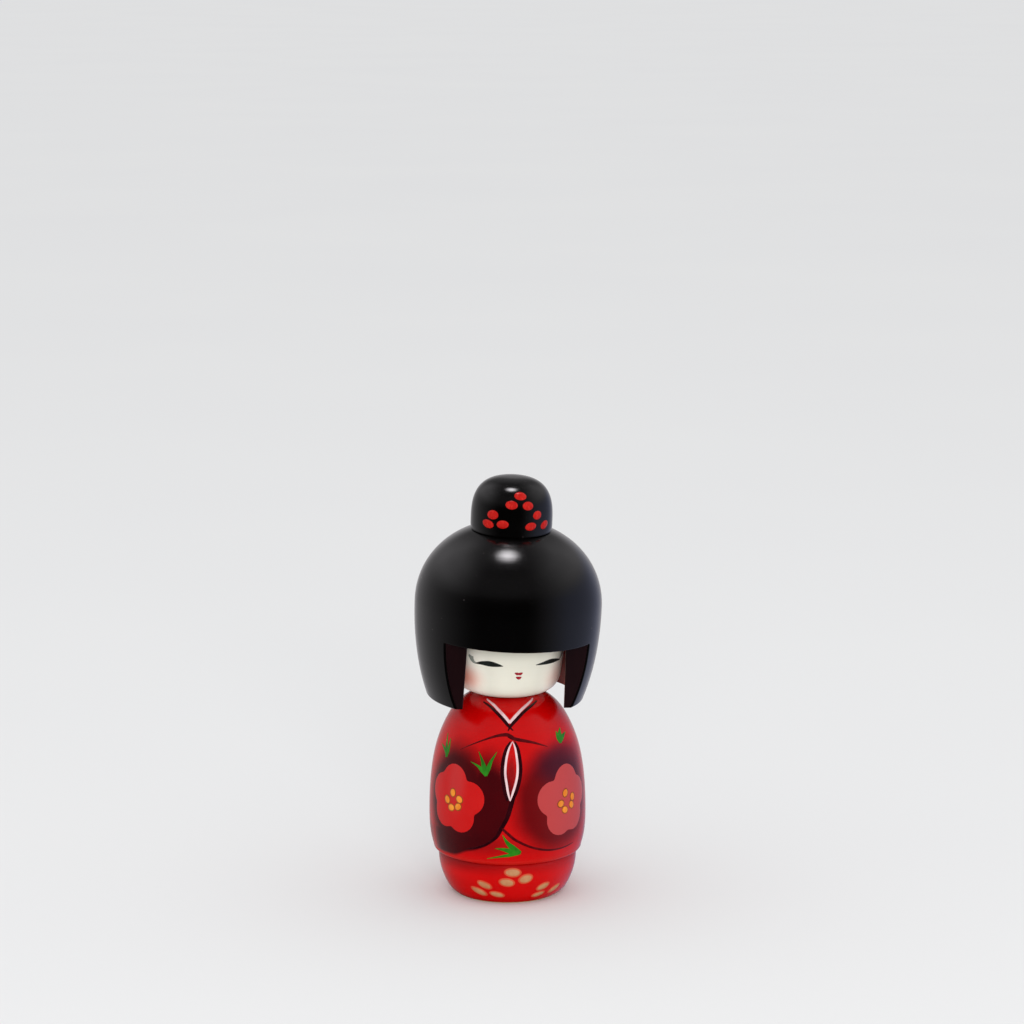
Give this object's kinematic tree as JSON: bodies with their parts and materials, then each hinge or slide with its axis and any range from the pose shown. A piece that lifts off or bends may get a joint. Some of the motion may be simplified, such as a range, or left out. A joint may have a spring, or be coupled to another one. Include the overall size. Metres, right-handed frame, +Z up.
{
  "type": "kokeshi doll",
  "caption": "Turned wooden kokeshi doll with a bobbed hair cap, a bun, a red kimono body and a head that turns on a neck dowel.",
  "frame": {"origin": "centre of the flat foot, on the surface the doll stands on", "axes": "+Z up along the body's axis; the kimono's front faces -Y, and the doll's left is +X"},
  "size_m": [0.0615, 0.0615, 0.14],
  "materials": {
    "kimono_lacquer": "gloss red lacquer over turned wood, airbrushed dark shading",
    "face_ivory": "satin ivory paint over turned wood",
    "hair_black": "gloss black lacquer outside, dark red-brown inside and on the sawn faces",
    "bun_red": "gloss black lacquer with small red dabs",
    "bare_wood": "unpainted turned dowel"
  },
  "bodies": {
    "torso": {"body": "kimono_lacquer", "neck_dowel": "bare_wood"},
    "head": {"face": "face_ivory", "hair_cap": "hair_black", "bun": "bun_red", "bun_dowel": "bare_wood"}
  },
  "joints": [
    {"name": "head_turn", "type": "hinge", "parent": "torso", "child": "head", "pos_m": [-0.0009, 0, 0.067], "axis": [0.0383, -0.057, 0.9976], "continuous": true}
  ]
}
